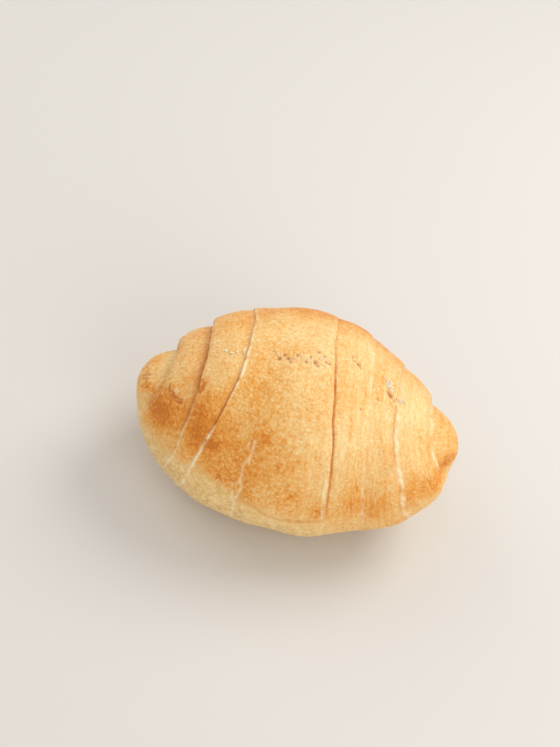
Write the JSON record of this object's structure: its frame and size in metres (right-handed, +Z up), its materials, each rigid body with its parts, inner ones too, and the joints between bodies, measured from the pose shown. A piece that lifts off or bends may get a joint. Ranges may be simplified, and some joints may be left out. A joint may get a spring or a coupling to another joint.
{
  "type": "bread roll",
  "caption": "Golden baked roll wound from a tapering strip of dough, with stepped laps, a small knob at each end and coarse salt along its crown.",
  "frame": {"origin": "centre of the bounding box's footprint, at the height of the flat base", "axes": "+X along the roll towards its narrower wound end, +Y towards its back, +Z up out of the crown"},
  "size_m": [0.1219, 0.0898, 0.0718],
  "materials": {
    "crust": "satin",
    "salt": "satin"
  },
  "bodies": {
    "root": {"bread_roll": "crust"}
  },
  "joints": []
}
